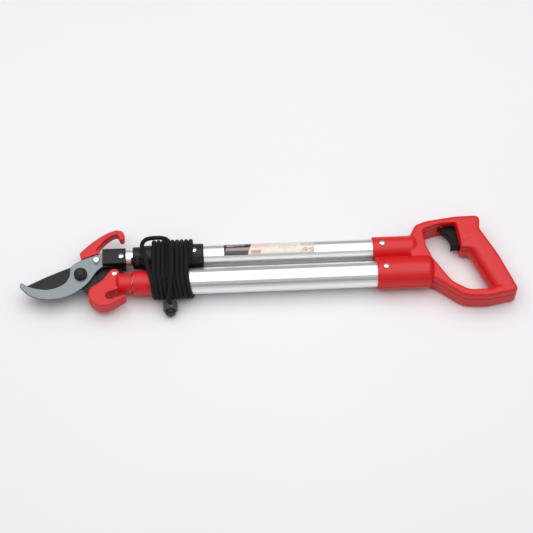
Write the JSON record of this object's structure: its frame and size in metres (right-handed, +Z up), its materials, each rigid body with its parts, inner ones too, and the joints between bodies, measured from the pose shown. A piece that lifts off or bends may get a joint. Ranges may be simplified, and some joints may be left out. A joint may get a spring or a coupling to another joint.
{
  "type": "telescoping pole lopper",
  "caption": "Telescoping twin-tube tree lopper: D-handle with trigger, sliding bypass cutting head, branch hook and wound pull cord.",
  "frame": {"origin": "middle of the tool's footprint on the surface it lies on, the cord left out", "axes": "+X along the poles towards the D-handle, +Y from the front pole to the rear pole, +Z up from the surface the tool lies on"},
  "size_m": [0.6, 0.1154, 0.0425],
  "materials": {
    "red_plastic": "moulded red polypropylene, satin to glossy",
    "black_plastic": "moulded black nylon, lightly grained",
    "trigger_plastic": "moulded black nylon",
    "aluminium": "drawn tube, silver anodised",
    "satin_steel": "satin ground steel plate",
    "dark_steel": "non-stick coated blade steel",
    "bright_steel": "zinc-plated rivets, screws and rods",
    "grey_plastic": "grey-black cord lock plastic",
    "cord_fabric": "braided black polyester cord"
  },
  "bodies": {
    "handle_frame": {"handle_shell_lower": "red_plastic", "handle_shell_upper": "red_plastic", "rear_outer_tube": "aluminium", "front_outer_tube": "aluminium", "rear_collar": "black_plastic", "front_collar": "red_plastic", "rear_collar_rivet": "bright_steel", "rear_socket_rivet": "bright_steel", "front_socket_rivet": "bright_steel", "shell_screw_1": "bright_steel", "shell_screw_2": "bright_steel", "shell_screw_3": "bright_steel", "shell_screw_4": "bright_steel", "trigger_pin": "bright_steel", "trigger_spring": "bright_steel", "release_cable": "black_plastic", "cord_winding": "cord_fabric", "cord_tail": "cord_fabric", "cord_toggle_body": "grey_plastic"},
    "head_carriage": {"rear_inner_tube": "aluminium", "front_inner_tube": "aluminium", "rear_tail_bush": "black_plastic", "front_tail_bush": "black_plastic", "head_block": "black_plastic", "block_rivet": "bright_steel", "hook_plate": "satin_steel", "brace_plate": "satin_steel", "pivot_bolt": "black_plastic", "pivot_nut": "bright_steel", "branch_hook": "red_plastic", "branch_hook_screw": "bright_steel", "front_head": "red_plastic", "ear_rivet": "bright_steel"},
    "blade": {"cutting_blade": "dark_steel"},
    "trigger": {"trigger": "trigger_plastic"},
    "release": {"release_rod": "bright_steel", "lock_wedge": "bright_steel"},
    "toggle_button": {"cord_toggle_button": "black_plastic"}
  },
  "joints": [
    {"name": "telescope", "type": "slide", "parent": "handle_frame", "child": "head_carriage", "axis": [-1, 0, 0], "range_m": [0, 0.215]},
    {"name": "blade_pivot", "type": "hinge", "parent": "head_carriage", "child": "blade", "pos_m": [-0.22679, -0.00349, 0.0183], "axis": [0, 0, -1], "range_deg": [0, 38]},
    {"name": "trigger_pull", "type": "hinge", "parent": "handle_frame", "child": "trigger", "pos_m": [0.22881, 0.05041, 0.016], "axis": [0, 0, 1], "range_deg": [0, 12], "stiffness_Nm_per_rad": 1.2, "springref_deg": -5.73, "deforming": ["trigger_spring"]},
    {"name": "release_slide", "type": "slide", "parent": "handle_frame", "child": "release", "axis": [1, 0, 0], "range_m": [0, 0.0042]},
    {"name": "toggle_press", "type": "slide", "parent": "handle_frame", "child": "toggle_button", "axis": [0, 1, 0], "range_m": [0, 0.0025], "stiffness_N_per_m": 400, "springref_m": -0.002}
  ],
  "couplings": [
    {"joint": "release_slide", "follows": "trigger_pull", "m_per_rad": 0.02}
  ]
}
